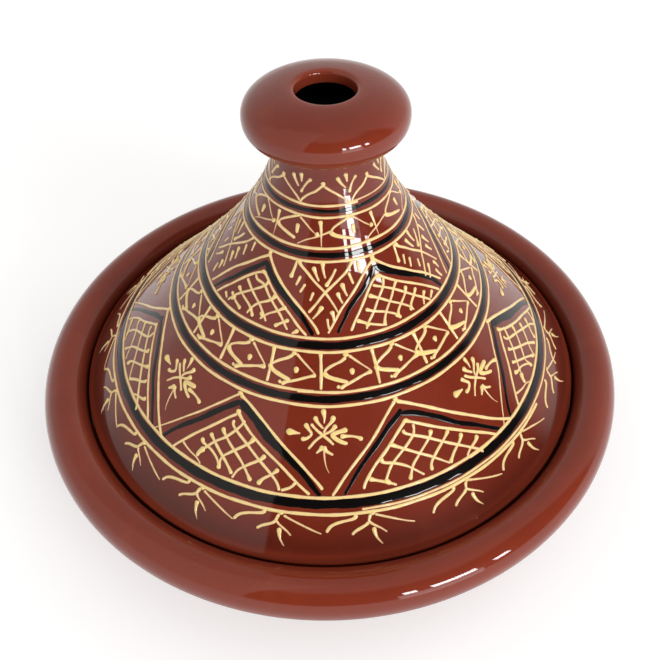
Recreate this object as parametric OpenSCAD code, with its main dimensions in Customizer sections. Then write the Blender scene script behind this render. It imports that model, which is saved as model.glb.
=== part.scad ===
/* [Dish] */
// Outside diameter over the rolled rim
dish_d = 300; // [280:1:320]
// Height of the rolled rim's crest above the table
dish_h = 57; // [54:0.5:64]
// Radius of the rolled rim's round section
rim_roll = 10.8; // [10:0.2:12]
// Outside diameter of the foot ring
foot_d = 184; // [160:1:200]
// Height of the foot ring's outer face
foot_h = 6; // [4:0.5:8]
// How far the dish's underside stands above the table
foot_rise = 4; // [1:0.5:5]
// Width of the foot ring's flat face
foot_w = 9; // [6:0.5:14]
// Thickness of the dish's floor and wall
dish_wall = 9; // [7:0.5:11]
// Height of the ledge that the lid rests on
ledge_z = 43.8; // [42:0.2:45]

/* [Lid] */
// Outside diameter of the lid's edge
lid_d = 255.2; // [252:0.2:256]
// Height of the lid's widest point above its resting edge
lid_edge_h = 5.5; // [5:0.5:7]
// Thickness of the lid's wall
lid_wall = 7; // [5:0.5:9]
// Height of the neck's top above the table
neck_z = 187.4; // [182:0.2:192]
// Diameter of the neck under the knob
neck_d = 45; // [43:0.2:50]
// Growth in radius for each millimetre down the cone's lower part
cone_slope = 1.16; // [1.12:0.01:1.2]
// How far above the neck's top the cone's flare would stand upright
flare_rise = 6; // [4:0.5:10]
// Clearance between the lid's edge and the rim's inner wall
lid_gap = 1.2; // [0.6:0.1:2]

/* [Knob] */
// Greatest diameter of the knob
knob_d = 73.6; // [68:0.2:78]
// Height of the knob above the neck
knob_h = 23.1; // [22:0.1:28]
// Height of the knob's widest ring above the neck
knob_mid = 10.3; // [8:0.1:11]
// Diameter of the hole in the knob's top
hole_d = 26.4; // [22:0.2:30]
// Thickness of the knob's wall
knob_wall = 6; // [5:0.5:7]

/* [Bands] */
// Heights of the five black bands above the table, from the top one down
band_z = [165.9, 148.8, 117.3, 99.9, 67.4];
// Widths of the five black bands
band_w = [2.2, 2.8, 4, 3.6, 4.6];
// Distances along the cone from each band's middle to its two slip rings
ring_step = [2.8, 3, 3.1, 3.1, 3.9];
// Thickness of the black enamel over the clay
band_t = 0.3; // [0.2:0.05:0.5]
// Width of a trailed slip ring
slip_w = 1.7; // [1.2:0.1:2.2]

/* [Hidden] */
$fn = 96;
bead_steps = 11;
wall_steps = 14;
roll_steps = 30;
cone_steps = 24;
knob_steps = 36;
edge_steps = 8;
lip_steps = 5;
chamfer_steps = 4;

rim_r = dish_d / 2 - rim_roll;
rim_z = dish_h - rim_roll;
foot_r = foot_d / 2;
lid_r = lid_d / 2;
neck_r = neck_d / 2;
hole_r = hole_d / 2;
// The lid rests just clear of the ledge
rest_gap = 0.3;
lid_z = ledge_z + rest_gap;
edge_z = lid_z + lid_edge_h;
well_r = lid_r + lid_gap;
// How far the ledge reaches in under the lid's edge
ledge_reach = 11;
ledge_r = lid_r - ledge_reach;
ledge_chamfer = 2;
// Where the dish's wall meets the underside of the rolled rim
join_a = 125;
belly_w = rim_r + rim_roll * cos(join_a) - foot_r;
belly_z = rim_z - rim_roll * sin(join_a);
// Thickness of the dish's wall just under the ledge, measured level
shoulder_wall = 13;
belly_inner_w = belly_w - shoulder_wall;
floor_z = foot_rise + dish_wall;
// The cone is a hyperbola that passes through the neck's edge and the lid's edge
flare_z = neck_z + flare_rise;
reach_low = cone_slope * (flare_z - edge_z);
reach_high = cone_slope * flare_rise;
spread = lid_r - neck_r;
arm = ((pow(reach_low, 2) - pow(reach_high, 2)) / spread + spread) / 2;
cone_flare = sqrt(pow(arm, 2) - pow(reach_low, 2));
waist_r = lid_r - arm + cone_flare;
// Thickness of the solid clay that closes the cone under the knob
crown_t = 9;
// Radius that rounds the inner corner of the lid's mouth
mouth_round = 2;
// The knob's section about a ring: its centre, half sizes and roundness, where 2 is an ellipse
knob_power = 2.4;
knob_c = [9, neck_z + knob_mid];
knob_a = knob_d / 2 - knob_c[0];
knob_up = knob_h - knob_mid;
// The lower half size is set so that the knob's underside meets the neck's edge
foot_share = (neck_r - knob_c[0]) / knob_a;
knob_low = knob_mid / pow(1 - pow(foot_share, knob_power), 1 / knob_power);
knob_foot_a = -acos(pow(foot_share, knob_power / 2));
// Rounding of the hole's lip, and how far its top lies below the knob's crest
lip_r = 2;
lip_drop = 0.2;
// Height of the straight throat below the hole's round lip
throat_h = 4;
// How far outside the hole the knob's hollow starts
well_step = 1;
// How deep a band is drawn before the cone trims it, and how many degrees a bead goes under the surface
band_root = 1;
bead_root = 20;

// Points along an arc about c, from angle a0 to a1
function arc(c, r, a0, a1, n) =
    [for (i = [0 : n]) let (a = a0 + (a1 - a0) * i / n) [c[0] + r * cos(a), c[1] + r * sin(a)]];

// A point on the dish's wall, for an oval of half sizes a and b
function wall_point(a, b, t) = [foot_r + a * sin(t), belly_z - b * cos(t)];

// Outer radius of the cone at a height above the table
function cone_r(z) =
    waist_r + sqrt(pow(cone_slope * (flare_z - z), 2) + pow(cone_flare, 2)) - cone_flare;

// Unit vector down the cone's surface at a height, and the outward normal there
function cone_down(z) =
    let (d = 0.01, v = [cone_r(z - d) - cone_r(z), -d]) v / norm(v);
function cone_out(z) = let (v = cone_down(z)) [-v[1], v[0]];

// A point at a height on the cone, moved along it and out from it
function on_cone(z, along, out) =
    [cone_r(z), z] + along * cone_down(z) + out * cone_out(z);

// A point of the knob's section at an angle, drawn in from the outside by inset
function knob_point(t, inset = 0) =
    knob_c + [
        (knob_a - inset) * pow(cos(t), 2 / knob_power),
        ((t < 0 ? knob_low : knob_up) - inset) * sign(sin(t)) * pow(abs(sin(t)), 2 / knob_power)
    ];

// The dish in section: foot ring, swelling wall, rolled rim, ledge for the lid and hollow
module dish_section() {
    under_r = foot_r - foot_w;
    foot_chamfer = 2;
    // The wall's outer and inner faces are quarter ovals about the same centre
    outer = [for (i = [0 : wall_steps]) wall_point(belly_w, belly_z - foot_h, 90 * i / wall_steps)];
    inner = [for (i = [0 : wall_steps])
        wall_point(belly_inner_w, belly_z - floor_z, 90 - 90 * i / wall_steps)];
    lip_a = acos((rim_r - well_r) / rim_roll);
    polygon(concat(
        [[0, foot_rise], [under_r - foot_rise, foot_rise], [under_r, 0]],
        [[foot_r - foot_chamfer, 0], [foot_r, foot_chamfer]],
        outer,
        arc([rim_r, rim_z], rim_roll, -join_a, 180 - lip_a, roll_steps),
        [[well_r, ledge_z]],
        arc([ledge_r + ledge_chamfer, ledge_z - ledge_chamfer], ledge_chamfer, 90, 180, chamfer_steps),
        [[ledge_r, belly_z + ledge_chamfer]],
        inner,
        [[0, floor_z]]
    ));
}

module base_dish() {
    color([0.42, 0.13, 0.08]) rotate_extrude() dish_section();
}

// The cone's outer outline from the neck down to the widest point
function cone_outline() =
    [for (i = [0 : cone_steps]) let (z = neck_z + (edge_z - neck_z) * i / cone_steps) [cone_r(z), z]];

// The cone in section: an even wall, closed under the knob, with a round edge
module cone_section() {
    edge_r = lid_edge_h;
    inner_top = neck_z - crown_t;
    inner = [for (i = [0 : cone_steps])
        let (z = edge_z + (inner_top - edge_z) * i / cone_steps)
        [max(cone_r(z) - lid_wall / cone_out(z)[0], 0), z]];
    polygon(concat(
        [[0, neck_z]],
        cone_outline(),
        arc([lid_r - edge_r, edge_z], edge_r, 0, -90, edge_steps),
        arc([inner[0][0] + mouth_round, lid_z + mouth_round], mouth_round, -90, -180, chamfer_steps),
        inner,
        [[0, inner_top]]
    ));
}

module lid_cone() {
    color([0.45, 0.15, 0.09]) rotate_extrude() cone_section();
}

// The cone without its hollow, which trims whatever is laid on it
module cone_solid() {
    rotate_extrude() polygon(concat([[0, neck_z]], cone_outline(), [[0, edge_z]]));
}

// The knob: a hollow flattened ball standing on the neck, with a round hole in its top
module lid_knob() {
    lip_z = knob_c[1] + knob_up - lip_drop - lip_r;
    outer = [for (i = [0 : knob_steps]) knob_point(knob_foot_a + (90 - knob_foot_a) * i / knob_steps)];
    inner = [for (i = [0 : knob_steps]) let (t = 90 - 180 * i / knob_steps)
        if (knob_point(t, knob_wall)[0] > hole_r + well_step || t < 0) knob_point(t, knob_wall)];
    color([0.47, 0.16, 0.1]) rotate_extrude() polygon(concat(
        [[0, neck_z]],
        [for (p = outer) if (p[0] > hole_r + lip_r || p[1] < knob_c[1]) p],
        arc([hole_r + lip_r, lip_z], lip_r, 90, 180, lip_steps),
        [[hole_r, lip_z - throat_h]],
        inner,
        [[0, knob_point(-90, knob_wall)[1]]]
    ));
}

// A black enamel band laid on the cone
module black_band(i) {
    half = band_w[i] / 2;
    z = band_z[i];
    color([0.03, 0.03, 0.03]) difference() {
        rotate_extrude() polygon([
            on_cone(z, -half, -band_root), on_cone(z, half, -band_root),
            on_cone(z, half, band_t), on_cone(z, -half, band_t)
        ]);
        cone_solid();
    }
}

// A slip ring trailed on the cone above or below a band, a half round bead in section
module slip_ring(i, side) {
    p = on_cone(band_z[i], side * ring_step[i], 0);
    down = atan2(cone_down(band_z[i])[1], cone_down(band_z[i])[0]);
    color([0.85, 0.72, 0.42]) difference() {
        rotate_extrude() polygon(arc(p, slip_w / 2, down - bead_root, down + 180 + bead_root, bead_steps));
        cone_solid();
    }
}

base_dish();
lid_cone();
lid_knob();
for (i = [0 : len(band_z) - 1]) {
    black_band(i);
    slip_ring(i, -1);
    slip_ring(i, 1);
}
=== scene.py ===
import math
import random

import bpy
import numpy as np
from mathutils import Matrix, Vector


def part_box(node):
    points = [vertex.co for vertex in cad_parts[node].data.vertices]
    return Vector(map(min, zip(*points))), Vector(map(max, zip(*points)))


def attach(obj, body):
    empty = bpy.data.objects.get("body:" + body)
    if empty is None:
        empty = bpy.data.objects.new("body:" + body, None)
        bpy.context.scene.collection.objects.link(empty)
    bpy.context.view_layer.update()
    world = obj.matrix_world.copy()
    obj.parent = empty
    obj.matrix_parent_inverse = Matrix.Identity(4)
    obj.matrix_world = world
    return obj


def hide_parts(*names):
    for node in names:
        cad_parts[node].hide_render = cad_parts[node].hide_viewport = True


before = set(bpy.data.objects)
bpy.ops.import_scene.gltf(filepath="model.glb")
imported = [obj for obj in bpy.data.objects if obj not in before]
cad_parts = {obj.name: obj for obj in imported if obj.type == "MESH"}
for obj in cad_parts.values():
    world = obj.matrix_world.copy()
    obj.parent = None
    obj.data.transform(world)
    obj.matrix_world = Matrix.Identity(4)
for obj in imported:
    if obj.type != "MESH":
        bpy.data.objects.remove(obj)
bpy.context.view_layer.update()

mm = 0.001
random.seed(7)


class Wire:
    # One shader socket that can be used in sums
    def __init__(self, finish, socket):
        self.finish, self.socket = finish, socket

    def sums(self, operation, first, second):
        return self.finish.node("ShaderNodeMath", {"operation": operation}, {0: first, 1: second})

    def __add__(self, other):
        return self.sums("ADD", self, other)

    def __radd__(self, other):
        return self.sums("ADD", other, self)

    def __sub__(self, other):
        return self.sums("SUBTRACT", self, other)

    def __rsub__(self, other):
        return self.sums("SUBTRACT", other, self)

    def __mul__(self, other):
        return self.sums("MULTIPLY", self, other)

    def __rmul__(self, other):
        return self.sums("MULTIPLY", other, self)


class Finish:
    # A node tree under construction, for a material or the world
    def __init__(self, owner):
        owner.use_nodes = True
        self.owner, self.tree = owner, owner.node_tree
        self.tree.nodes.clear()

    def node(self, kind, settings=None, inputs=None, output=0):
        made = self.tree.nodes.new(kind)
        for name, value in (settings or {}).items():
            if name == "stops":
                ramp = made.color_ramp
                while len(ramp.elements) < len(value):
                    ramp.elements.new(0.5)
                for element, (place, colour) in zip(ramp.elements, value):
                    element.position, element.color = place, (*colour, 1)
            else:
                setattr(made, name, value)
        for name, value in (inputs or {}).items():
            if isinstance(value, Wire):
                self.tree.links.new(value.socket, made.inputs[name])
            else:
                made.inputs[name].default_value = value
        return Wire(self, made.outputs[output]) if made.outputs else None

    def place(self):
        # Where a point lies on the pot, in metres
        return self.node("ShaderNodeTexCoord", output=3)

    def blend(self, share, first, second, mode="MIX"):
        colours = [c if isinstance(c, Wire) else (*c, 1) for c in (first, second)]
        settings = {"data_type": "RGBA", "blend_type": mode}
        return self.node("ShaderNodeMix", settings, {0: share, 6: colours[0], 7: colours[1]}, 2)

    def ease(self, value, low, high, start=0.0, end=1.0):
        settings = {"interpolation_type": "SMOOTHSTEP"}
        inputs = {"Value": value, "From Min": low, "From Max": high, "To Min": start, "To Max": end}
        return self.node("ShaderNodeMapRange", settings, inputs)

    def noise(self, place, scale, detail=2.0, roughness=0.5):
        inputs = {"Vector": place, "Scale": scale, "Detail": detail, "Roughness": roughness}
        return self.node("ShaderNodeTexNoise", {}, inputs)

    def stretched(self, place, scales):
        return self.node("ShaderNodeVectorMath", {"operation": "MULTIPLY"}, {0: place, 1: scales})

    def painted(self, name):
        return self.node("ShaderNodeAttribute", {"attribute_name": name}, {}, 2)

    def bump(self, height, strength, depth):
        inputs = {"Strength": strength, "Distance": depth, "Height": height}
        return self.node("ShaderNodeBump", {}, inputs)


glaze = {"coatRoughness": 0.035, "coatIor": 1.47, "baseShine": 0.02, "ior": 1.5}
clay = {
    # the second colour is a dark one: iron specks, glaze gathered in hollows, and painted shade in the seat
    # groove and at the lid's lower edge
    "colour": (0.178, 0.0225, 0.0092), "darkGlazeAndShade": (0.028, 0.004, 0.0025), "worn": (0.24, 0.042, 0.019),
    "bare": (0.4, 0.14, 0.065), "soot": (0.008, 0.007, 0.008), "cloudShade": 0.86, "gritShade": 0.6,
    "dishTint": 1.05, "bumpDepth": 0.22 * mm,
    "roughFrom": 112 * mm, "roughFull": 135 * mm, "smoothFrom": 185 * mm, "smoothFull": 195 * mm,
}


def glazeCoat(finish, colour, roughness, normal, coat=1.0):
    inputs = {
        "Base Color": colour, "Roughness": roughness, "Normal": normal, "Coat Weight": coat,
        "Coat Roughness": glaze["coatRoughness"], "Coat IOR": glaze["coatIor"],
        "Specular IOR Level": glaze["baseShine"], "IOR": glaze["ior"],
    }
    shader = finish.node("ShaderNodeBsdfPrincipled", {}, inputs)
    finish.node("ShaderNodeOutputMaterial", {}, {"Surface": shader})
    return finish.owner


def shaded(colour, share):
    return [c * share for c in colour]


def clayTone(finish, place):
    # The clay under its glaze: cloudy red-brown with fine iron specks
    clouds = finish.noise(place, scale=22, detail=4, roughness=0.55)
    cloudy = shaded(clay["colour"], clay["cloudShade"])
    tone = finish.blend(finish.ease(clouds, 0.35, 0.7), clay["colour"], cloudy)
    drift = finish.noise(finish.stretched(place, (1, 1, 0.3)), scale=60, detail=3)
    tone = finish.blend(finish.ease(drift, 0.55, 0.8) * 0.35, tone, clay["worn"])
    specks = finish.ease(finish.noise(place, scale=900, detail=1), 0.71, 0.78)
    return finish.blend(specks * 0.5, tone, clay["darkGlazeAndShade"])


def throwingBump(finish, place, strength=1.0):
    # Faint turned rings from the wheel, with the glaze's own soft ripple over them
    rings = finish.noise(finish.stretched(place, (0.06, 0.06, 1)), scale=330, detail=2)
    ripple = finish.noise(place, scale=75, detail=2)
    fine = finish.noise(place, scale=420, detail=1)
    grain = finish.noise(place, scale=1150, detail=1)
    up = finish.node("ShaderNodeSeparateXYZ", {}, {0: place}, 2)
    rough = finish.ease(up, clay["roughFrom"], clay["roughFull"])  # the upper cone is rougher than the rest
    dimpled = rough * finish.ease(up, clay["smoothFull"], clay["smoothFrom"], start=0.35)
    height = rings * 0.35 + ripple * 0.9 + (fine + grain * 0.4) * (0.07 + dimpled * 0.6)
    return finish.bump(height, strength, clay["bumpDepth"])


def clayMaterial(name, tint=1.0):
    finish = Finish(bpy.data.materials.new(name))
    place = finish.place()
    tone = finish.blend(1.0, clayTone(finish, place), (tint, tint, tint), "MULTIPLY")
    # darker where glaze gathers in hollows, plus painted shade in the dish's seat groove and at the lid's
    # lower edge
    tone = finish.blend(finish.painted("pool") * 0.9, tone, clay["darkGlazeAndShade"])
    tone = finish.blend(finish.painted("worn") * 0.4, tone, clay["worn"])
    # near-black inside the knob's well, below its throat
    tone = finish.blend(finish.painted("soot"), tone, clay["soot"])
    bare = finish.painted("bare")
    grit = finish.noise(place, scale=700, detail=3)
    grit = finish.blend(grit, clay["bare"], shaded(clay["bare"], clay["gritShade"]))
    tone = finish.blend(bare, tone, grit)
    patches = finish.noise(place, scale=40, detail=3)
    roughness = finish.ease(patches, 0.3, 0.7, start=0.3, end=0.46) + bare * 0.4
    gloss = (1 - bare) * (1 - finish.painted("dull"))
    return glazeCoat(finish, tone, roughness, throwingBump(finish, place), gloss)


creamTones = [  # from thin slip, pinkish over the clay, to thick
    (0.0, (0.3, 0.1, 0.045)), (0.11, (0.52, 0.25, 0.125)), (0.3, (0.74, 0.49, 0.26)),
    (0.52, (0.82, 0.62, 0.28)), (1.0, (0.8, 0.61, 0.2)),
]


def slipMaterial(name):
    # Cream where the slip stands thick, tan where it runs thin
    finish = Finish(bpy.data.materials.new(name))
    place = finish.place()
    mottle = finish.noise(place, scale=380, detail=3)
    depth = finish.painted("slipDepth") + (mottle - 0.5) * 0.3
    cream = finish.node("ShaderNodeValToRGB", {"stops": creamTones}, {"Fac": depth})
    freckles = finish.ease(finish.noise(place, scale=1500, detail=1), 0.66, 0.74)
    tone = finish.blend(freckles * 0.35, cream, (0.5, 0.3, 0.1))
    roughness = finish.ease(mottle, 0.3, 0.7, start=0.32, end=0.5)
    grain = finish.noise(place, scale=1100, detail=2)
    return glazeCoat(finish, tone, roughness, finish.bump(grain, 0.5, 0.12 * mm))


enamelTones = [  # brown where the brush left it thin, black where it is thick
    (0.0, (0.07, 0.013, 0.007)), (0.25, (0.02, 0.007, 0.005)), (0.5, (0.006, 0.0038, 0.0035)),
    (1.0, (0.003, 0.0022, 0.002)),
]


def enamelMaterial(name):
    finish = Finish(bpy.data.materials.new(name))
    place = finish.place()
    streaks = finish.noise(finish.stretched(place, (1, 1, 2.5)), scale=300, detail=3)
    depth = finish.painted("inkDepth") + (streaks - 0.5) * 0.5
    tone = finish.node("ShaderNodeValToRGB", {"stops": enamelTones}, {"Fac": depth})
    roughness = finish.ease(streaks, 0.3, 0.7, start=0.28, end=0.42)
    return glazeCoat(finish, tone, roughness, throwingBump(finish, place, strength=0.6), coat=0.75)


print("materials")
dishClay = clayMaterial("dishClay", clay["dishTint"])
lidClay = clayMaterial("lidClay")
creamSlip = slipMaterial("creamSlip")
blackEnamel = enamelMaterial("blackEnamel")

turning = {
    "step": 2 * mm, "segments": 320, "softCorner": 0.7 * mm, "sharp": 24, "wobble": 0.14 * mm,
    "steadyRadius": 30 * mm, "seatWide": 16 * mm, "seatHigh": 14 * mm, "poolReach": 3.5 * mm,
}


def cadOutline(node):
    # A turned node's section as (radius, height) points, walked from its underside to its top
    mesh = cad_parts[node].data
    stations, owner = [], {}
    for vertex in mesh.vertices:
        spot = (math.hypot(vertex.co.x, vertex.co.y), vertex.co.z)
        key = (round(spot[0], 5), round(spot[1], 5))
        if key not in owner:
            near = [i for i, s in enumerate(stations) if math.dist(s, spot) < 0.03 * mm]
            if not near:
                stations.append(spot)
                near = [len(stations) - 1]
            owner[key] = near[0]
    places = [owner[round(math.hypot(v.co.x, v.co.y), 5), round(v.co.z, 5)] for v in mesh.vertices]
    joined = [set() for s in stations]
    for edge in mesh.edges:
        a, b = (places[i] for i in edge.vertices)
        if a != b:
            joined[a].add(b)
            joined[b].add(a)
    ends = [i for i, others in enumerate(joined) if len(others) == 1]
    walk = [min(ends, key=lambda i: stations[i][1])]
    while True:
        onward = [i for i in joined[walk[-1]] if i not in walk]
        if not onward:
            break
        walk.append(onward[0])
    line = [stations[i] for i in walk]
    return np.array([(0.0, line[0][1]), *line, (0.0, line[-1][1])])


def turnAt(line, i):
    # How far the section turns at a point, in degrees
    a, b = line[i] - line[i - 1], line[i + 1] - line[i]
    return math.degrees(math.atan2(a[0] * b[1] - a[1] * b[0], a @ b))


def softened(line):
    # Rounds each sharp corner by a small cut, as glaze does
    out = [line[0]]
    for i in range(1, len(line) - 1):
        before, after = line[i - 1] - line[i], line[i + 1] - line[i]
        if abs(turnAt(line, i)) < turning["sharp"] or line[i][0] < 2 * mm:
            out.append(line[i])
            continue
        a = line[i] + before * min(0.4, turning["softCorner"] / np.linalg.norm(before))
        b = line[i] + after * min(0.4, turning["softCorner"] / np.linalg.norm(after))
        for t in (0, 0.25, 0.5, 0.75, 1):
            out.append(a * (1 - t) ** 2 + line[i] * 2 * t * (1 - t) + b * t ** 2)
    return np.array([*out, line[-1]])


def evened(line, step):
    # Adds points on the smooth stretches so that reflections run evenly
    square = 90
    turns = [square] + [abs(turnAt(line, i)) for i in range(1, len(line) - 1)] + [square]
    out = []
    for i in range(len(line) - 1):
        a, b = line[i], line[i + 1]
        length = np.linalg.norm(b - a)
        heads = []
        for k in (i, i + 1):
            if turns[k] > turning["sharp"]:
                heads.append(b - a)
            else:
                along = line[k + 1] - line[k - 1]
                heads.append(along / np.linalg.norm(along) * length)
        count = max(1, math.ceil(length / step))
        for t in (j / count for j in range(count)):
            fromA, toB = 2 * t ** 3 - 3 * t ** 2 + 1, 3 * t ** 2 - 2 * t ** 3
            leave, arrive = t ** 3 - 2 * t ** 2 + t, t ** 3 - t ** 2
            out.append(fromA * a + leave * heads[0] + toB * b + arrive * heads[1])
    return np.array([*out, line[-1]])


def thrown(turn, height):
    # How far a hand-thrown wall strays in radius, by angle and height
    waves = 0.5 * np.sin(2 * turn + 34 * height) + 0.3 * np.sin(3 * turn - 61 * height + 1)
    return turning["wobble"] * (waves + 0.2 * np.sin(5 * turn + 90 * height + 2))


def buildMesh(name, points, faces, paints, material):
    mesh = bpy.data.meshes.new(name)
    mesh.from_pydata(points.tolist(), [], faces)
    mesh.polygons.foreach_set("use_smooth", [True] * len(mesh.polygons))
    for paint, values in paints.items():
        layer = mesh.attributes.new(paint, "FLOAT", "POINT")
        layer.data.foreach_set("value", np.asarray(values, np.float32))
    mesh.materials.append(material)
    mesh.validate()
    piece = bpy.data.objects.new(name, mesh)
    bpy.context.scene.collection.objects.link(piece)
    return piece


def bending(line):
    # Signed bend of the section, smoothed along it: positive in hollows, where glaze pools
    steps = np.linalg.norm(np.diff(line, axis=0), axis=1)
    turns = np.array([0] + [math.radians(turnAt(line, i)) for i in range(1, len(line) - 1)] + [0])
    spread = np.zeros(len(line))
    along = np.concatenate([[0], np.cumsum(steps)])
    for i, t in enumerate(turns):
        spread += t * np.exp(-((along - along[i]) / turning["poolReach"]) ** 2)
    return -spread


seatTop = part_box("lid_cone")[0].z
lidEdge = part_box("lid_cone")[1].x


def steadySeat(r, z):
    # No wobble where the lid and the dish meet
    near = np.hypot((r - lidEdge) / turning["seatWide"], (z - seatTop) / turning["seatHigh"])
    return np.clip(near - 1, 0, 1)


def freedom(r, z, seated=True):
    # How much of the wobble a point takes: none at the axis or at the seat
    return np.clip(r / turning["steadyRadius"], 0, 1) * (steadySeat(r, z) if seated else 1)


def turned(name, line, material, marks, seated=True):
    # A turned piece from its section, with the marks that its material paints
    count = turning["segments"]
    turn = np.arange(count) * 2 * math.pi / count
    r, z = line[1:-1, 0], line[1:-1, 1]
    radius = r[:, None] + thrown(turn[None, :], z[:, None]) * freedom(r, z, seated)[:, None]
    ringed = np.stack([radius * np.cos(turn), radius * np.sin(turn), np.repeat(z[:, None], count, 1)], -1)
    points = np.concatenate([[(0, 0, line[0, 1])], ringed.reshape(-1, 3), [(0, 0, line[-1, 1])]])
    rows, last = len(r), len(points) - 1
    faces = []
    for i in range(count):
        j = (i + 1) % count
        faces.append((0, 1 + j, 1 + i))
        faces.append((last, 1 + (rows - 1) * count + i, 1 + (rows - 1) * count + j))
        for k in range(rows - 1):
            a = 1 + k * count
            faces.append((a + i, a + j, a + count + j, a + count + i))
    bend = bending(line)
    paints = {"pool": np.clip(bend, 0, 1), "worn": np.clip(-bend * 0.8, 0, 1)}
    paints.update(marks)
    spread = {k: np.concatenate([v[:1], np.repeat(v[1:-1], count), v[-1:]]) for k, v in paints.items()}
    for mark in ("soot", "bare", "dull"):
        spread.setdefault(mark, np.zeros(len(points)))
    return buildMesh(name, points, faces, spread, material)


def fitted(piece, body, slot, *nodes):
    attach(piece, body)
    if nodes:
        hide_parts(*nodes)


print("dish")
dishLook = {  # reaches of the dull glaze under the roll, of the painted shade in the seat and of the wiped foot
    "dullBelow": 10 * mm, "dullReach": 8 * mm, "dull": 0.75,
    "grooveShadeWide": 6 * mm, "grooveShadeDeep": 6 * mm, "wiped": 0.6 * mm,
}
dishLine = evened(softened(cadOutline("base_dish")), turning["step"])
dishHigh = dishLine[:, 1]
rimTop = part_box("base_dish")[1].z
footBare = (dishHigh < dishLook["wiped"]) * 1.0
rimDull = np.clip((rimTop - dishLook["dullBelow"] - dishHigh) / dishLook["dullReach"], 0, dishLook["dull"])
# painted shade on the dish's inner wall beside the lid's edge and down into the seat, plus glaze gathered in
# hollows
nearLidShade = np.clip(1 - np.abs(dishLine[:, 0] - lidEdge) / dishLook["grooveShadeWide"], 0, 1)
grooveShadeAndPool = nearLidShade * (dishHigh > seatTop - dishLook["grooveShadeDeep"]) + np.clip(bending(dishLine), 0, 1)
dishMarks = {"bare": footBare, "dull": rimDull, "pool": np.clip(grooveShadeAndPool, 0, 1)}
fitted(turned("dishBody", dishLine, dishClay, dishMarks), "dish", "glazed_clay", "base_dish")

print("lid")
lidLook = {  # how far up the lid's edge its painted shade, with dark gathered glaze, and its dull glaze reach
    "pool": 1.2, "poolReach": 17 * mm, "dull": 1.5, "dullReach": 7 * mm, "dullMost": 0.85,
}
lidLine = evened(softened(cadOutline("lid_cone")), turning["step"])
lidHigh = lidLine[:, 1] - seatTop
# painted shade and dark reflection near the lid's lower edge, where the rim shades it, with glaze gathered
# in hollows
edgePoolAndShade = np.clip(lidLook["pool"] - lidHigh / lidLook["poolReach"], 0, 1) + bending(lidLine)
edgeDull = np.clip(lidLook["dull"] - lidHigh / lidLook["dullReach"], 0, lidLook["dullMost"])
lidMarks = {"pool": np.clip(edgePoolAndShade, 0, 1), "dull": edgeDull}
fitted(turned("lidCone", lidLine, lidClay, lidMarks), "lid", "glazed_clay", "lid_cone")

print("knob")
knobLook = {"fineness": 0.7, "throat": 7.5 * mm, "sootEdge": 1.5 * mm}  # the well is coloured near-black below the throat
knobLine = evened(softened(cadOutline("lid_knob")), turning["step"] * knobLook["fineness"])
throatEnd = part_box("lid_knob")[1].z - knobLook["throat"]
inWell = np.arange(len(knobLine)) > int(np.argmax(knobLine[:, 1]))
blackWell = inWell * np.clip((throatEnd - knobLine[:, 1]) / knobLook["sootEdge"], 0, 1)
knob = turned("lidKnob", knobLine, lidClay, {"soot": blackWell}, seated=False)
fitted(knob, "lid", "glazed_clay", "lid_knob")

cone = {"drawnLength": 174.6}  # where the lid's edge lies in the drawings, in mm down from the neck
lidOutline = cadOutline("lid_cone")
coneLine = evened(lidOutline[int(np.argmax(lidOutline[:, 0])):-1], 1 * mm)[::-1]
coneAlong = np.concatenate([[0], np.cumsum(np.linalg.norm(np.diff(coneLine, axis=0), axis=1))])
coneStart = coneAlong[-1] - cone["drawnLength"] * mm
coneDown = np.gradient(coneLine, coneAlong, axis=0)


def onCone(turn, along, lift=0.0):
    # A point on the cone at an angle in radians and a distance down from the neck, raised by lift
    r, z = (np.interp(along, coneAlong, coneLine[:, k]) for k in (0, 1))
    down = [np.interp(along, coneAlong, coneDown[:, k]) for k in (0, 1)]
    out = r + thrown(turn, z) * freedom(r, z) - down[1] * lift
    return np.stack([out * np.cos(turn), out * np.sin(turn), z + down[0] * lift], -1)


hand = {"width": (0.93, 1.08), "size": (0.985, 1.015), "height": (-0.25, 0.25)}  # how much each line varies
slip = {"paint": "slipDepth", "thick": 0.75 * mm, "crown": 2.4, "rise": 0.3, "shake": 0.12}
ink = {"paint": "inkDepth", "thick": 0.05 * mm, "crown": 6, "rise": 0.1, "shake": 0.2}


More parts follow.
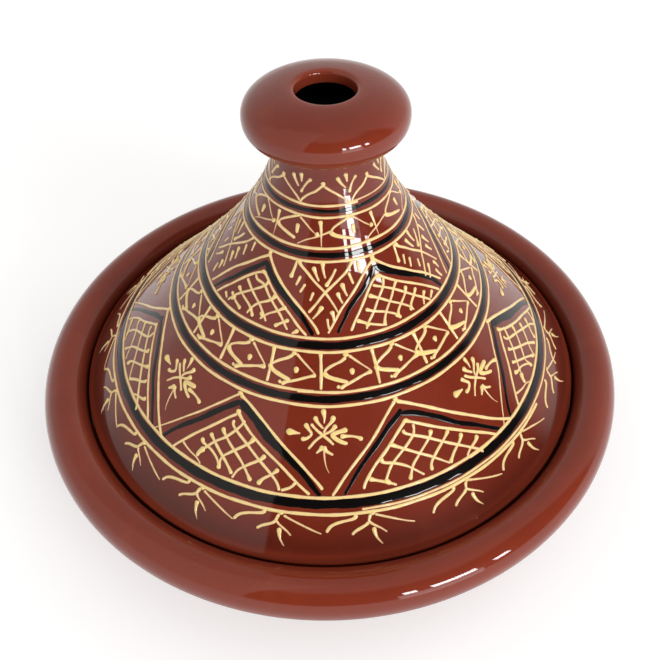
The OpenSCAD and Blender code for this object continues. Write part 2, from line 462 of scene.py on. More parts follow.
class Relief:
    # Collects raised strokes of one coat on the cone and turns them into one piece
    across = np.array([-1, -0.88, -0.62, -0.22, 0.22, 0.62, 0.88, 1, 0.8, -0.8])  # a stroke's section
    sunk = np.array([0.05] + [0] * 6 + [0.05, 0.3, 0.3]) * mm  # how far each of its points lies in the clay

    def __init__(self, coat):
        self.coat = coat
        self.points, self.faces, self.depths, self.count = [], [], [], 0

    def lay(self, turn, along, width, height):
        # One stroke: a half round bead over a path, closed underneath
        rise = (1 - np.minimum(np.abs(self.across), 1) ** self.coat["crown"]) ** 0.8
        rise[-2:] = 0
        radius = np.interp(along, coneAlong, coneLine[:, 0])
        east, south = np.gradient(turn) * radius, np.gradient(along)
        size = np.hypot(east, south) + 1e-12
        sideTurn, sideAlong = -south / size / radius, east / size
        half = width[:, None] / 2 * self.across
        turns = turn[:, None] + sideTurn[:, None] * half
        alongs = np.clip(along[:, None] + sideAlong[:, None] * half, 0, coneAlong[-1])
        ring = onCone(turns, alongs, height[:, None] * rise - self.sunk)
        n, m = ring.shape[:2]
        k = np.arange(m)
        b = (k + 1) % m
        for i in range(n - 1):
            a = self.count + i * m
            self.faces.extend(np.stack([a + k, a + m + k, a + m + b, a + b], 1).tolist())
        self.faces.append([self.count + j for j in range(m)])
        self.faces.append([self.count + (n - 1) * m + j for j in reversed(range(m))])
        self.points.append(ring.reshape(-1, 3))
        self.depths.append(np.clip(height[:, None] * rise / self.coat["thick"], 0, 1).ravel())
        self.count += n * m

    def piece(self, name, *nodes):
        points, depths = np.concatenate(self.points), np.concatenate(self.depths)
        material, slot = (creamSlip, "cream_slip") if self.coat is slip else (blackEnamel, "black_enamel")
        made = buildMesh(name, points, self.faces, {self.coat["paint"]: depths}, material)
        fitted(made, "lid", slot, *nodes)


def curve(points, count=10):
    # A smooth line through given points (degrees, mm down the cone)
    p = np.array([points[0], *points, points[-1]], float)
    p[0], p[-1] = 2 * p[1] - p[2], 2 * p[-2] - p[-3]
    out = []
    for i in range(1, len(p) - 2):
        a, b, c, d = p[i - 1:i + 3]
        bend, twist = 2 * a - 5 * b + 4 * c - d, 3 * b - a - 3 * c + d
        for t in (j / count for j in range(count)):
            out.append(0.5 * (2 * b + (c - a) * t + bend * t ** 2 + twist * t ** 3))
    out.append(p[-2])
    out = np.array(out)
    return np.radians(out[:, 0]), out[:, 1] * mm + coneStart


def uneven(width, at, phase):
    # A trailed line swells and thins a little as the hand moves
    return width * (1 + 0.07 * np.sin(at / (2.3 * mm) + phase) + 0.04 * np.sin(at / (0.9 * mm) + 2 * phase))


def stroke(relief, points, nib, rise, shake, step=0.7 * mm):
    # A line that starts with nib[0] mm of width, runs at nib[1] and ends at nib[2]
    turn, along = curve(points)
    lengths = np.linalg.norm(np.diff(onCone(turn, along), axis=0), axis=1)
    run = np.concatenate([[0], np.cumsum(lengths)])
    total = run[-1]
    head, line, tail = (w * mm * random.uniform(*hand["width"]) for w in nib)
    cap = np.array([0, 0.06, 0.2, 0.45, 0.75])
    start, stop = min(head / 2, total * 0.45), min(tail / 2, total * 0.45)
    middle = np.linspace(start, total - stop, max(2, int((total - start - stop) / step) + 1))
    at = np.concatenate([cap * start, middle, total - cap[::-1] * stop])
    turn, along = np.interp(at, run, turn), np.interp(at, run, along)
    width = line + (head - line) * np.exp(-(at / (0.8 * head)) ** 2)
    left = total - at
    if tail > line:
        width = width + (tail - line) * np.exp(-(left / (0.8 * tail)) ** 2)
    else:
        width = width + (tail - line) * np.clip((at / total - 0.35) / 0.65, 0, 1)
    phase = random.uniform(0, 6.3)
    width = uneven(width, at, phase)
    sway = shake * mm * np.sin(at / (4.1 * mm) + phase * 3)
    along = along + sway
    turn = turn + sway * 0.6 / np.interp(along, coneAlong, coneLine[:, 0])
    first = np.sqrt(1 - (1 - np.clip(at / start, 0, 1)) ** 2)
    last = np.sqrt(1 - (1 - np.clip(left / stop, 0, 1)) ** 2)
    taper = np.maximum(first * last, 0.02)
    height = np.minimum(width * rise, relief.coat["thick"] * 1.5)
    relief.lay(turn, along, width * taper, height * taper ** 0.7)


nibs = {  # a line's width in mm at its start, along it and at its end
    "plain": (1.75, 1.5, 1.4), "blob": (2.7, 1.5, 1.15), "both": (2.6, 1.45, 2.4), "thin": (1.5, 1.15, 0.8),
    "fat": (2.8, 2.2, 1.8), "hair": (1.2, 0.9, 0.45), "drop": (2.5, 1.6, 0.5), "dot": (2.6, 2.5, 1.4),
    "wedge": (3.6, 2.2, 0.8), "end": (1.45, 1.45, 2.6), "long": (2.2, 1.55, 1.5),
    "left": (2.4, 2.7, 1.4), "right": (2.6, 3.4, 2.0),
    "lowLeft": (2.3, 2.8, 1.5), "lowRight": (3.0, 4.6, 2.0),
}


def drawn(name, coat, motif, fine=1.0):
    # Repeats a motif's strokes at each of its angles, never twice quite alike
    relief = Relief(coat)
    for place, variant in motif["at"]:
        grow = random.uniform(*hand["size"]) if motif.get("loose") else 1
        lower = random.uniform(*hand["height"]) if motif.get("loose") else 0
        for nib, points in motif[variant]:
            moved = [(place + x * grow, y + lower) for x, y in points]
            stroke(relief, moved, [wide * fine for wide in nibs[nib]], coat["rise"], coat["shake"])
    relief.piece(name)


def bandAlong(node):
    # How far down the cone a CAD band or ring lies, and its width
    low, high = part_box(node)
    heights = np.interp([low.z, high.z], coneLine[::-1, 1], coneAlong[::-1])
    return heights.mean(), heights[0] - heights[1]


def roundPath(along, start, sweep, drift, lean=0.0, sag=0.0):
    # A hand-guided line round the cone, in degrees and drawn mm, which may sag at the front
    phase = random.uniform(0, 6.3)
    places = np.linspace(0, sweep, max(24, int(abs(sweep) / 7)))
    stray = np.sin(np.radians(places) * 2 + phase) + 0.5 * np.sin(np.radians(places) * 5 + 2 * phase)
    front = (0.5 - 0.5 * np.sin(np.radians(start + places))) ** 2
    fall = lean * np.linspace(-1, 1, len(places)) + sag * front
    return [(start + a, (along - coneStart) / mm + drift * s + f) for a, s, f in zip(places, stray, fall)]


print("bands and rings")
bandShare = 0.84  # the enamel stops short of the width that the CAD allows it
ringWidths = (1.3, 1.35, 1.45, 1.5, 1.6)
ringStarts = {  # the angle a ring was begun at, how far round it runs, how much its ends miss by, its sag
    "slip_ring_1_upper": (-62, -372, 0.35, 0), "slip_ring_5_lower": (-28, -416, 0.9, 0.2),
    "slip_ring_5_upper": (305, 366, 0.1, 1.2),
}
for i, ringWidth in enumerate(ringWidths, 1):
    node = f"black_band_{i}"
    along, wide = bandAlong(node)
    wide = wide / mm * bandShare
    band = Relief(ink)
    path = roundPath(along, 60 + 31 * i, 364, drift=0.12)
    stroke(band, path, (wide * 0.9, wide, wide * 0.9), ink["rise"], shake=0.1, step=1.6 * mm)
    band.piece(f"blackBand{i}", node)
    for side in ("upper", "lower"):
        node = f"slip_ring_{i}_{side}"
        start, sweep, lean, sag = ringStarts.get(node, (70 + 47 * i, 366, 0.1, 0))
        ring = Relief(slip)
        path = roundPath(bandAlong(node)[0], start, sweep, 0.16, -lean, sag)
        ending = 0.7 if lean > 0.2 else 1
        nib = (ringWidth * 1.15, ringWidth, ringWidth * ending)
        stroke(ring, path, nib, slip["rise"], shake=0.08, step=1.2 * mm)
        ring.piece(f"slipRing{i}{side.title()}", node)

print("neck")
zigzag = {
    "at": [(a, "peak") for a in (-140, -94.6, -46.2, 1, 46, 91, 136, 179)],
    "peak": [
        ("fat", [(0, 7.6), (0.4, 10.3)]),
        ("plain", [(-0.6, 9.6), (-7, 12), (-12.9, 13.4), (-17, 14.8), (-20.4, 16.6), (-21.8, 18)]),
        ("plain", [(1.2, 9.8), (7.1, 11.6), (12.1, 13), (16.2, 14.4), (20, 15.8), (23.6, 17.6)]),
    ],
}
fans = {
    "at": [(a, "fan") for a in (-116.6, -69.5, -23, 23.5, 68.5, 113.5, 157.5, 200)],
    "fan": [
        ("blob", [(-10.8, 5.8), (-8.3, 8), (-2.6, 11.4)]),
        ("blob", [(-1.6, 4.6), (-0.8, 6.6), (-0.4, 8.8)]),
        ("both", [(10.4, 6.8), (6.2, 8.6), (2.6, 11), (0, 13.6)]),
    ],
}
drawn("neckZigzag", slip, zigzag, fine=0.8)
drawn("neckFans", slip, fans, fine=0.8)

print("small eyes")
smallEye = {
    "at": [(a, "eye") for a in (-152.5, -114.6, -70.5, -21, 24, 70, 116, 162)],
    "loose": True,
    "eye": [
        ("fat", [(-1.5, 23.6), (-0.8, 24.8)]),
        ("plain", [(-1.5, 24), (-7, 25.4), (-12, 26.8), (-16, 28.4), (-18, 30.2)]),
        ("fat", [(-18.5, 29.6), (-17, 30.8), (-13, 31.9), (-7, 33), (-0.5, 34.3)]),
        ("thin", [(-18, 29.6), (-23.7, 30.9), (-31, 32.8), (-37, 34.3), (-43, 36.6)]),
        ("thin", [(0.4, 24.3), (5.4, 26.4), (9.6, 28.6), (14, 30.7)]),
        ("fat", [(14, 30.6), (17, 31.3)]),
        ("drop", [(17.6, 24.7), (18.4, 28), (18.8, 31), (19.2, 36.8)]),
        ("dot", [(0, 27.6), (-0.2, 29.6), (0, 32)]),
    ],
}
drawn("smallEyes", slip, smallEye, fine=0.82)

print("upper star")
upperAt = ((-130.5, "steep"), (-62, "wide"), (9.5, "steep"), (81.5, "wide"), (153.5, "steep"))
upperInk = {
    "at": upperAt,
    "steep": [
        ("left", [
            (0.3, 48.6), (-3.5, 52), (-5.7, 54), (-12.7, 60),
            (-18.2, 66), (-21.5, 70), (-25.7, 77.6),
        ]),
        ("right", [(-0.3, 49), (2, 51), (6.3, 54), (15.7, 60), (24.5, 66), (28.7, 70), (32.8, 75.6)]),
    ],
    "wide": [
        ("left", [
            (0.3, 48.3), (-2.4, 50.6), (-8.6, 56), (-14.5, 60),
            (-18.8, 64), (-21.4, 68.5), (-25, 74.6),
        ]),
        ("right", [
            (-0.3, 48.8), (2.8, 50.3), (10, 54), (17, 58),
            (23.5, 62), (28, 66), (31.6, 70), (34, 76.3),
        ]),
    ],
}
drawn("upperChevrons", ink, upperInk)

upperLines = {
    "at": upperAt,
    "steep": [
        ("fat", [(-0.2, 43.3), (0.2, 46.2)]),
        ("plain", [
            (0.3, 45.8), (-4, 48), (-7.2, 50), (-12.2, 54),
            (-16.8, 58), (-20.7, 62), (-25, 68), (-29.3, 75.6),
        ]),
        ("long", [
            (0.2, 45.4), (3.2, 48), (8.3, 52), (14, 56), (20, 60),
            (25.5, 64), (30, 68), (33.6, 72), (35.2, 75),
        ]),
        ("fat", [(0, 53), (0.6, 54.8)]),
        ("plain", [(0.3, 54), (-4.1, 56.2), (-9.1, 60), (-13, 64), (-16, 68), (-19, 72), (-21.6, 76.4)]),
        ("long", [(0.5, 53.6), (4.3, 56), (10, 60), (16, 64), (21.3, 68), (25.5, 72), (30, 76)]),
    ],
    "wide": [
        ("fat", [(0.4, 43.2), (-0.3, 46.2)]),
        ("plain", [
            (0, 45.8), (-4.5, 48), (-9.9, 52), (-14.5, 56),
            (-18.8, 60), (-22.6, 64), (-25.3, 68), (-29.3, 74.5),
        ]),
        ("long", [
            (-0.2, 45.2), (4.3, 48), (10.5, 52), (17.4, 56),
            (22.8, 60), (28.2, 64), (32, 68), (36.2, 73.4),
        ]),
        ("fat", [(-0.6, 52), (-0.2, 54)]),
        ("plain", [
            (0.2, 52.6), (-3.8, 54.4), (-7.6, 58), (-10.7, 62),
            (-13.8, 66), (-16.9, 70), (-19.3, 74),
        ]),
        ("long", [(-0.4, 52.4), (5.5, 56), (12, 60), (18.2, 64), (23.5, 68), (27.8, 72), (31, 75.8)]),
    ],
}
drawn("upperChevronLines", slip, upperLines, fine=0.9)

upperGrid = {
    "at": upperAt,
    "loose": True,
    "steep": [
        ("plain", [
            (-4, 56.6), (-2, 58.4), (3.5, 59.2), (8.2, 62.7),
            (12.4, 65.7), (16.6, 69), (19, 71.7), (21.6, 75),
        ]),
        ("plain", [(-8, 60.7), (-2.6, 63.7), (4.3, 67.7), (8.2, 71.2), (10.9, 74.2)]),
        ("fat", [(7.2, 70.6), (8.6, 73.2)]),
        ("both", [(-11, 66), (-7.2, 68), (-0.3, 70.7), (2.4, 73), (3.5, 74.6)]),
        ("both", [(-13, 70.2), (-11, 71.7), (-6.4, 73.4), (-4, 74.4)]),
        ("plain", [(-16.8, 72.7), (-14, 74.7)]),
        ("plain", [
            (5.5, 56.7), (4, 59.2), (-1, 63), (-6.4, 67.2),
            (-9.9, 70.2), (-11.6, 72.4), (-13, 74.8),
        ]),
        ("fat", [(-9.8, 70.6), (-11.6, 73.4)]),
        ("blob", [(12.4, 61.2), (9.7, 64.5), (4.3, 67.7), (1.3, 71), (0, 74.4)]),
        ("fat", [(1.4, 71), (1, 73)]),
        ("blob", [(19, 65), (15, 68), (10.5, 70.7), (7.4, 74)]),
        ("both", [(21.6, 70.5), (18.6, 72.2), (15, 74.6)]),
        ("blob", [(26.6, 74), (23.6, 76)]),
    ],
    "wide": [
        ("plain", [
            (-4.5, 56), (1.2, 58.5), (6.2, 61.2), (11.6, 65.2),
            (16, 69), (19.7, 72.2), (22.8, 75.6),
        ]),
        ("blob", [(-8, 60), (-2.6, 62.7), (2, 65.5), (7, 68.7), (10.8, 72), (12.4, 74.6)]),
        ("fat", [(10.6, 71.8), (11.8, 73.6)]),
        ("both", [(-11, 65.7), (-6.8, 67.5), (-1.8, 69.2), (2.8, 72), (4.7, 74.6)]),
        ("fat", [(2.8, 71.8), (3.8, 73.6)]),
        ("blob", [(-16, 69.7), (-11.8, 71.7), (-6.5, 73.7), (-2.8, 74.9)]),
        ("plain", [
            (2.8, 54.7), (1.2, 58), (-1.8, 61), (-4.5, 64),
            (-6.8, 67.2), (-9.2, 70), (-11, 72), (-12.2, 74.4),
        ]),
        ("fat", [(-10.6, 71.4), (-11.8, 73.4)]),
        ("both", [(10, 58.2), (6.6, 61), (3.2, 64.5), (-0.3, 68), (-2.6, 71.5), (-3.8, 75)]),
        ("both", [(13.5, 62.7), (11.6, 65.5), (7.8, 68.5), (4.7, 71.2), (3.5, 74.2)]),
        ("both", [(18.5, 66.2), (15.8, 68.7), (12.4, 71.2), (10.5, 74.2)]),
        ("blob", [(22.4, 70.2), (20, 72.5), (18.2, 75.4)]),
        ("blob", [(26.6, 72.7), (23.2, 75.2)]),
    ],
}
drawn("upperLattice", slip, upperGrid, fine=0.9)

print("upper panels")
upperCross = {
    "at": [(a, "cross") for a in (-165.5, -93, -26, 46, 118)],
    "loose": True,
    "cross": [
        ("blob", [
            (-16.6, 43.4), (-14.7, 45.7), (-10, 48.7), (-6.2, 51.7),
            (0, 56.4), (4.5, 62), (7, 66.4),
        ]),
        ("plain", [(17.5, 43.6), (13, 48), (6.8, 52.2), (0, 57), (-4, 61.5), (-7.6, 66)]),
        ("end", [(-17.6, 43.6), (-18.5, 48), (-19.7, 52.3)]),
        ("plain", [(-14, 50.3), (-16, 54.8)]),
        ("plain", [(-10.8, 53.4), (-13.2, 57.6)]),
        ("plain", [(-5.8, 56.8), (-7.4, 60.8)]),
        ("blob", [(-0.8, 62.7), (-3, 65.7), (-5.5, 68.5)]),
        ("plain", [(1.5, 68.2), (1.8, 71), (2.5, 73.4)]),
        ("blob", [(3.4, 64.6), (4.2, 67), (4.5, 69.5)]),
        ("blob", [(-7, 45.5), (-5.5, 48.2), (-3.2, 51.8)]),
        ("blob", [(-1.2, 43.4), (-0.8, 47), (0.5, 50.6)]),
        ("end", [(6.8, 46.4), (4.5, 49.5), (0.4, 54)]),
        ("plain", [(14.2, 48.6), (15, 51), (16, 54)]),
        ("plain", [(20.5, 44.6), (20.8, 49.6)]),
        ("blob", [(9.5, 52.7), (10.3, 55.5), (11.8, 58.8)]),
        ("blob", [(6.8, 56.7), (7.6, 59), (9.2, 61.8)]),
    ],
}
drawn("upperPanels", slip, upperCross, fine=0.9)

print("large eyes")
largeEye = {
    "at": [(a, "eye") for a in (
        -177.5, -158.7, -141.8, -121.8, -103, -82.7, -63.7, -47, -28.2, -8.5,
        10.5, 29.5, 48.5, 67.5, 86.5, 105.5, 124.5, 143.5, 162.5,
    )],
    "loose": True,
    "eye": [
        ("fat", [(-1.6, 83.3), (-1.8, 85.2)]),
        ("plain", [(-1.8, 85), (-3.8, 86.8), (-6.7, 88.4), (-8.8, 90), (-9.9, 91.4)]),
        ("thin", [(-0.6, 84.6), (1.2, 86.4), (3.3, 88.6), (5.4, 90.8), (6.9, 92.6)]),
        ("fat", [(-10, 91), (-9.6, 92.5), (-7.9, 93.8), (-4.6, 95.2), (-1.7, 96.4)]),
        ("both", [(7.3, 93), (3.7, 94.2), (0.4, 95.8), (-2.9, 97.4), (-4.6, 98.7)]),
        ("plain", [(-5.6, 97.3), (-4.7, 98.6)]),
        ("dot", [(0, 90.1), (0, 93.1)]),
        ("long", [(8.7, 83.2), (8.9, 88), (9, 94), (9.1, 99.3)]),
    ],
}
drawn("largeEyes", slip, largeEye)

print("lower star")
lowerAt = (
    (-169, "open"), (-120, "steep"), (-69.5, "open"),
    (-20, "steep"), (32, "open"), (85, "steep"), (138, "open"),
)
lowerInk = {
    "at": lowerAt,
    "steep": [
        ("lowLeft", [
            (0.5, 111.4), (-1.9, 114.7), (-6.9, 121.7), (-10.6, 128.3),
            (-14, 135), (-16.9, 141.7), (-18.7, 148),
        ]),
        ("lowRight", [
            (0, 111.6), (5, 114.7), (10.6, 121.3), (16.9, 128.7),
            (21.9, 135.7), (25.3, 142.7), (26.8, 146),
        ]),
    ],
    "open": [
        ("lowLeft", [
            (0.5, 112.6), (-0.5, 115), (-5.2, 120), (-9.9, 127),
            (-13.6, 134), (-16.7, 141), (-18.2, 144.8),
        ]),
        ("lowLeft", [
            (0, 114.4), (4.5, 116.7), (10.8, 122.7), (15.8, 129.7),
            (20.8, 136), (25.4, 143.3), (27.9, 147.8),
        ]),
    ],
}
drawn("lowerChevrons", ink, lowerInk)

lowerLines = {
    "at": lowerAt,
    "steep": [
        ("fat", [(-0.6, 107), (-0.6, 109)]),
        ("thin", [
            (-0.6, 108.6), (-3.4, 112.3), (-7.5, 118.3), (-11.2, 125),
            (-15, 131.7), (-18.4, 138.3), (-21.6, 145.6),
        ]),
        ("long", [
            (-0.3, 108.6), (3.8, 111.3), (10, 117.3), (15.6, 124.3),
            (21.3, 132), (25.6, 139.3), (27.2, 142.8),
        ]),
        ("fat", [(0.6, 115), (1.2, 117.6)]),
        ("plain", [(0.6, 117.2), (-1.9, 120.7), (-5.9, 128), (-9.7, 135), (-12.5, 142), (-13.6, 145.6)]),
        ("long", [(1, 116.6), (5, 121.7), (10.6, 127.7), (16.3, 134), (21.3, 141), (24.1, 145)]),
    ],
    "open": [
        ("fat", [(-0.2, 106.6), (-0.3, 109.2)]),
        ("plain", [
            (-0.6, 108.4), (-3.3, 112.3), (-7.1, 118.3), (-11.1, 125),
            (-14.9, 131.7), (-18.3, 138.3), (-21.1, 145.3),
        ]),
        ("long", [
            (-0.2, 108.6), (3.9, 111.7), (10.1, 117.7), (16.1, 124.7),
            (21.4, 131.7), (26.1, 138.7), (31.1, 145.8),
        ]),
        ("fat", [(0.7, 117.2), (1, 119.4)]),
        ("plain", [
            (0.6, 118.6), (-1.7, 121.7), (-5.8, 127.7),
            (-9.9, 133.7), (-12.7, 140.3), (-13.5, 143.6),
        ]),
        ("long", [(1, 118.4), (5.1, 122), (10.8, 128), (16.1, 134), (21.4, 140.7), (24.5, 145.6)]),
    ],
}
drawn("lowerChevronLines", slip, lowerLines)

lowerGrid = {
    "at": lowerAt,
    "loose": True,
    "steep": [
        ("plain", [(3.8, 119), (2.8, 122.3), (-0.3, 128.7), (-2.8, 132.7), (-5, 138)]),
        ("fat", [(-5, 137.6), (-6, 140.4), (-6.2, 142.8)]),
        ("blob", [(7.8, 124.7), (6.6, 128), (2.5, 134.3), (0.6, 137.7), (0.3, 141)]),
        ("end", [(0.3, 139.4), (0.6, 143.6)]),
        ("blob", [(11.9, 130.9), (10.6, 133.7), (7.8, 137.3), (5.6, 140.7), (4.6, 144.8)]),
        ("both", [(16, 135.7), (14.4, 138.7), (12.5, 141.3), (11.3, 144.2)]),
        ("plain", [(20.6, 140.3), (19.4, 142.7), (17.2, 144.7)]),
        ("plain", [
            (0.3, 120.4), (1, 123.3), (6.3, 128.7), (11, 134.3),
            (13.8, 138), (16, 141.7), (16.9, 145),
        ]),
        ("both", [(-2.2, 125.5), (-0.6, 128.3), (4.7, 135), (6.9, 138.3), (9.5, 143.6)]),
        ("both", [(-5, 130.5), (-2.8, 133.3), (0, 136.7), (2.5, 140), (4.4, 143.3)]),
        ("blob", [(-6.8, 133.9), (-6, 135.7), (-3.1, 137), (-0.6, 139.7), (0.4, 142.3)]),
        ("thin", [(-11.6, 140.7), (-8.8, 142.3), (-6.2, 143.3), (-4.4, 145.2)]),
    ],
    "open": [
        ("plain", [(2.9, 120.9), (2.6, 123.7), (1.4, 126.3), (-3.9, 133), (-6.1, 136.3), (-8.2, 142)]),
        ("both", [(7.3, 126.2), (6.4, 129), (1.4, 135.7), (-0.5, 138.7), (-2.1, 144)]),
        ("both", [(12, 129.9), (11.3, 131.5), (6.7, 137), (4.5, 140.3), (4, 143.5)]),
        ("both", [(15.5, 134.5), (14.2, 137), (11.4, 140.3), (9.2, 144.2)]),
        ("blob", [(19.5, 139.8), (18.3, 141.7), (15.8, 143.3), (14.2, 145.2)]),
        ("plain", [(-0.5, 121.8), (0.1, 124), (5.8, 129.3), (12.6, 137.7), (17.6, 145), (18.9, 148)]),
        ("blob", [(-5.2, 126.5), (-1.7, 130), (1.4, 133.3), (5.1, 137.7), (9.2, 144)]),
        ("blob", [(-8.3, 131.5), (-7.7, 133.7), (-4.9, 135), (-1.7, 138), (1.9, 144)]),
        ("blob", [(-12.1, 139.5), (-9.9, 141), (-7.4, 142.7), (-5.5, 144.5)]),
        ("fat", [(-8.4, 141), (-6.8, 143.4)]),
    ],
}
drawn("lowerLattice", slip, lowerGrid)

print("rosettes")
rosette = {
    "at": [(a, "flower") for a in (-143.3, -93, -40.6, 9, 61.5, 114.5, 164.5)],
    "loose": True,
    "flower": [
        ("drop", [(0, 107.3), (0.4, 111), (0.3, 113.7)]),
        ("blob", [(-2.6, 110.5), (-1.7, 113), (0.1, 115.8)]),
        ("blob", [(3.3, 110.3), (2.7, 112.7), (0.8, 115.7), (0.2, 117.8)]),
        ("both", [(-5.4, 113.9), (-4.2, 116.3), (-3.3, 118.3), (-4.5, 120.3), (-6.2, 120.9)]),
        ("plain", [(-3.6, 113.9), (-2, 116.3), (0, 118.7), (1.8, 121), (3.1, 123.1)]),
        ("blob", [(3.9, 114.2), (2.4, 116.7), (0, 118.7), (-2, 121.3), (-3, 123.3), (-3.9, 125.2)]),
        ("fat", [(7.2, 116.8), (4.6, 117.6), (2.7, 118.6), (3.6, 120.3), (5.5, 122), (6.9, 122.7)]),
        ("wedge", [(-10.6, 118.5), (-9, 118.5), (-6.4, 118.6)]),
        ("both", [(4.9, 119.6), (8, 119.7), (10.2, 120.7), (11.1, 121.9)]),
        ("blob", [(0, 123.2), (-0.4, 124.7), (-1.7, 126.9)]),
        ("blob", [(0.1, 123.4), (0.9, 125.5), (2.9, 127.5)]),
        ("hair", [(0.3, 125), (0.6, 129.7), (1.1, 133), (1.8, 135.4)]),
    ],
}
drawn("rosettes", slip, rosette)

print("sprigs")
sprig = {
    "at": [(a, "sprig") for a in (
        -180.5, -161, -142, -122, -102.5, -82.2, -58.6, -38.8, -16.5, -1.5,
        19, 39, 58, 78, 98, 118, 138, 158,
    )],
    "loose": True,
    "sprig": [
        ("fat", [(0.4, 153.4), (0.6, 155)]),
        ("plain", [(0.1, 154.6), (-0.3, 156.4), (-0.6, 158.4)]),
        ("long", [(-3.3, 153.6), (-3.7, 155.4), (-6.9, 156.8), (-8.8, 158.5), (-9.8, 161.2)]),
        ("thin", [(1, 154.8), (4.4, 157.6), (7.5, 160.2), (9.5, 161.7)]),
        ("plain", [(-0.6, 157.6), (-1.2, 158.7), (-3.4, 160.7), (-4.4, 162.4)]),
        ("thin", [(-0.4, 157.6), (0.3, 158.9), (1.9, 161), (3.1, 163.1)]),
        ("drop", [(0.5, 160.2), (0.5, 162), (0.9, 165), (1.9, 168)]),
    ],
}
drawn("sprigs", slip, sprig)

studio = {  # brightness of the floor and of each side of the room; the dark side's start and end, in degrees
    "floor": 0.55, "floorGlow": 0.52, "floorHalf": 6.0, "ceiling": 0.55, "wall": 0.8, "dark": 0.04,
    "softbox": 0.78, "horizon": 1.0, "darkFrom": -28, "darkTo": 102, "tint": (1, 0.985, 0.955),
}
windows = {  # turn from the camera's side and height, width and height in degrees, brightness
    "paneLeft": (22.5, 22, 4, 9, 26), "paneMiddle": (37, 22, 14, 9, 26), "paneRight": (53.5, 20, 5, 9, 24),
    "neckGlint": (34, 5, 10, 24, 30), "sill": (32, 9, 27, 16, 2.6), "roomFill": (60, 55, 60, 50, 1.4),
}
neckPieces = (  # the only pieces that the low glint reaches
    "lidCone", "neckZigzag", "neckFans", "smallEyes", "slipRing1Upper", "slipRing1Lower", "blackBand1",
    "slipRing2Upper", "blackBand2", "slipRing2Lower",
)


def worldLight():
    # A pale studio: bright walls and floor line, a dim side behind the camera, a soft box at the left
    finish = Finish(bpy.data.worlds.new("studio"))
    bpy.context.scene.world = finish.owner
    way = finish.node("ShaderNodeTexCoord")
    x, y, z = (finish.node("ShaderNodeSeparateXYZ", {}, {0: way}, k) for k in range(3))
    # the turn from the camera's side, in radians: negative at the left, positive at the right
    turn = finish.node("ShaderNodeMath", {"operation": "ARCTAN2"}, {0: x, 1: 0 - y})
    light = finish.ease(z, 0.25, 0.9, studio["wall"], studio["ceiling"])
    darkFrom, darkTo = math.radians(studio["darkFrom"]), math.radians(studio["darkTo"])
    leftSide = finish.ease(turn, darkFrom - 0.012, darkFrom + 0.012)
    rightSide = finish.ease(turn, darkTo, darkTo - 0.2)
    dim = leftSide * rightSide * finish.ease(z, 0.93, 0.8)
    softbox = (1 - leftSide) * finish.ease(turn, -1.9, -1.8)
    light = light + (studio["softbox"] - light) * softbox
    light = light + (studio["dark"] - light) * dim
    light = light + (studio["horizon"] - light) * finish.ease(z, 0.13, 0.06)
    shader = finish.node("ShaderNodeBackground", {}, {"Color": (*studio["tint"], 1), "Strength": light})
    finish.node("ShaderNodeOutputWorld", {}, {"Surface": shader})


def windowLight(name, turn, height, wide, tall, brightness, distance=8.0):
    # A far rectangle of light that faces the pot
    lamp = bpy.data.lights.new(name, "AREA")
    lamp.shape = "RECTANGLE"
    lamp.size, lamp.size_y = (2 * distance * math.tan(math.radians(span / 2)) for span in (wide, tall))
    lamp.energy = brightness * math.pi * lamp.size * lamp.size_y
    holder = bpy.data.objects.new(name, lamp)
    a, b = math.radians(turn), math.radians(height)
    way = Vector((math.sin(a) * math.cos(b), -math.cos(a) * math.cos(b), math.sin(b)))
    holder.location = way * distance
    holder.rotation_euler = (-way).to_track_quat("-Z", "Y").to_euler()
    holder.visible_glossy = name != "roomFill"  # the fill makes no reflection of its own
    if name == "neckGlint":
        holder.visible_diffuse = False  # the glint is a reflection and nothing more
        lit = bpy.data.collections.new(name)
        for piece in neckPieces:
            lit.objects.link(bpy.data.objects[piece])
        holder.light_linking.receiver_collection = lit
    bpy.context.scene.collection.objects.link(holder)


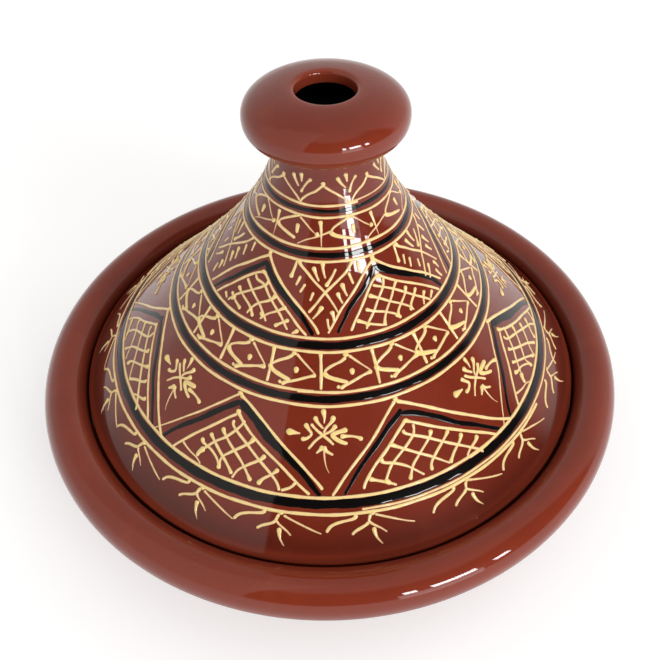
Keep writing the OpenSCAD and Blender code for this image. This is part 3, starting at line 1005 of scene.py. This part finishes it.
def floorSheet():
    finish = Finish(bpy.data.materials.new("paleFloor"))
    patches = finish.noise(finish.place(), scale=3, detail=2)
    shade = finish.ease(patches, 0.3, 0.7, studio["floor"], studio["floor"] + 0.02)
    tone = finish.node("ShaderNodeCombineColor", {}, {0: shade, 1: shade, 2: shade})
    diffuse = finish.node("ShaderNodeBsdfPrincipled", {}, {
        "Base Color": tone, "Roughness": 0.9, "Specular IOR Level": 0.0,
        "Emission Color": (1, 1, 1, 1), "Emission Strength": studio["floorGlow"],
    })
    finish.node("ShaderNodeOutputMaterial", {}, {"Surface": diffuse})
    mesh = bpy.data.meshes.new("floor")
    half = studio["floorHalf"]
    corners = [(-half, -half, 0), (half, -half, 0), (half, half, 0), (-half, half, 0)]
    mesh.from_pydata(corners, [], [(0, 1, 2, 3)])
    mesh.materials.append(finish.owner)
    floor = bpy.data.objects.new("floor", mesh)
    bpy.context.scene.collection.objects.link(floor)


print("light")
worldLight()
floorSheet()
for name, place in windows.items():
    windowLight(name, *place)

view = {  # angles in degrees, distance and aim in metres, lens and sensor in mm
    "elevation": 41.9, "distance": 0.447, "aim": 0.106, "lens": 49, "sensor": 36,
    "yaw": 1.75, "roll": -1.3, "shift": (-0.041, -0.09), "clipStart": 0.01,
}


def rotated(first, second, angle):
    # Two square directions turned towards each other by an angle
    along, aside = math.cos(angle), math.sin(angle)
    return first * along + second * aside, second * along - first * aside


def placeCamera():
    up, turn, roll = (math.radians(view[k]) for k in ("elevation", "yaw", "roll"))
    ahead, right = Vector((0, math.cos(up), -math.sin(up))), Vector((1, 0, 0))
    above = right.cross(ahead)
    ahead, right = rotated(ahead, right, turn)
    right, above = rotated(right, above, roll)
    lens = bpy.data.cameras.new("camera")
    lens.sensor_width, lens.lens = view["sensor"], view["lens"]
    lens.shift_x, lens.shift_y = view["shift"]
    lens.clip_start = view["clipStart"]
    camera = bpy.data.objects.new("camera", lens)
    stand = Vector((0, -math.cos(up), math.sin(up))) * view["distance"] + Vector((0, 0, view["aim"]))
    axes = Matrix((right, above, -ahead)).transposed().to_4x4()
    camera.matrix_world = Matrix.Translation(stand) @ axes
    bpy.context.scene.collection.objects.link(camera)
    bpy.context.scene.camera = camera


placeCamera()
bpy.context.scene.view_settings.view_transform = "Standard"
